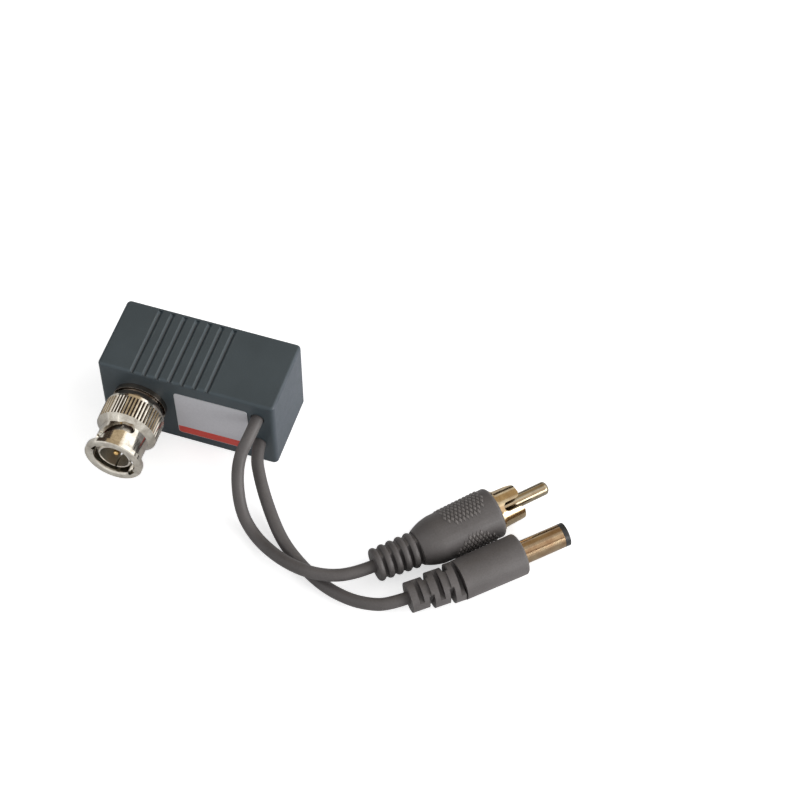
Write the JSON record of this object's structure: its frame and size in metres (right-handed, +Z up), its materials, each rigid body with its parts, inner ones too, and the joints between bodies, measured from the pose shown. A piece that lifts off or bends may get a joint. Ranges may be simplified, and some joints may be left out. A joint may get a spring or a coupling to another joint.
{
  "type": "video audio power balun",
  "caption": "Small moulded box that carries video, audio and power over network cable, with a bayonet video plug, a phono plug and a barrel power plug on short cords.",
  "frame": {"origin": "middle of the box's base, on the surface that it stands on", "axes": "+X along the box towards the cords' end, -Y out of the front wall along the bayonet plug, +Z up"},
  "size_m": [0.1147, 0.0521, 0.0216],
  "materials": {
    "housing_plastic": "fine matt moulded dark blue-grey plastic",
    "board_laminate": "green solder mask over glass laminate",
    "label_film": "satin grey printed film with a red band",
    "socket_plastic": "black moulded plastic",
    "nickel_plate": "bright nickel plate with a warm cast",
    "gold_plate": "thin gold plate",
    "white_insulator": "white fluoropolymer",
    "gasket_rubber": "soft red silicone rubber",
    "spring_steel": "bright spring steel",
    "ferrite": "dull dark ferrite",
    "enamelled_copper": "clear enamel over copper wire",
    "tinned_copper": "tinned copper",
    "red_insulation": "red wire insulation",
    "black_insulation": "black wire insulation",
    "cord_sheath": "satin warm grey flexible vinyl",
    "tie_nylon": "natural nylon"
  },
  "bodies": {
    "box": {"housing": "housing_plastic", "base_cover": "housing_plastic", "circuit_board": "board_laminate", "label": "label_film", "socket_housing": "socket_plastic", "socket_contact_block": "socket_plastic", "bayonet_plug_body": "nickel_plate", "bayonet_insulator": "white_insulator", "bayonet_center_pin": "gold_plate", "bayonet_gasket": "gasket_rubber", "bayonet_panel_nut": "nickel_plate", "bayonet_retaining_ring": "spring_steel", "bayonet_spring_washer_rear": "spring_steel", "bayonet_spring_washer_front": "spring_steel", "balun_core": "ferrite", "balun_winding_input": "enamelled_copper", "balun_winding_output": "enamelled_copper", "video_wire": "tinned_copper", "audio_wire_signal": "red_insulation", "audio_wire_shield": "black_insulation", "power_wire_positive": "red_insulation", "power_wire_negative": "black_insulation", "audio_cord": "cord_sheath", "power_cord": "cord_sheath", "audio_cord_tie": "tie_nylon", "power_cord_tie": "tie_nylon", "phono_plug_body": "cord_sheath", "phono_plug_shell": "nickel_plate", "phono_plug_insulator": "socket_plastic", "phono_plug_pin": "nickel_plate", "power_plug_body": "cord_sheath", "power_plug_barrel": "nickel_plate", "power_plug_tip_insulator": "socket_plastic", "power_plug_inner_contact": "nickel_plate", "socket_contact_1": "gold_plate", "socket_contact_2": "gold_plate", "socket_contact_3": "gold_plate", "socket_contact_4": "gold_plate", "socket_contact_5": "gold_plate", "socket_contact_6": "gold_plate", "socket_contact_7": "gold_plate", "socket_contact_8": "gold_plate"},
    "carrier": {"bayonet_thrust_washer": "spring_steel"},
    "nut": {"bayonet_coupling_nut": "nickel_plate", "bayonet_nut_end_ring": "nickel_plate"}
  },
  "joints": [
    {"name": "coupling_pull", "type": "slide", "parent": "box", "child": "carrier", "axis": [0, -1, 0], "range_m": [0, 0.0006], "stiffness_N_per_m": 2000, "springref_m": -0.0002, "deforming": ["bayonet_spring_washer_rear", "bayonet_spring_washer_front"]},
    {"name": "coupling_turn", "type": "hinge", "parent": "carrier", "child": "nut", "pos_m": [-0.0116, -0.0137, 0.0108], "axis": [0, -1, 0], "continuous": true}
  ]
}
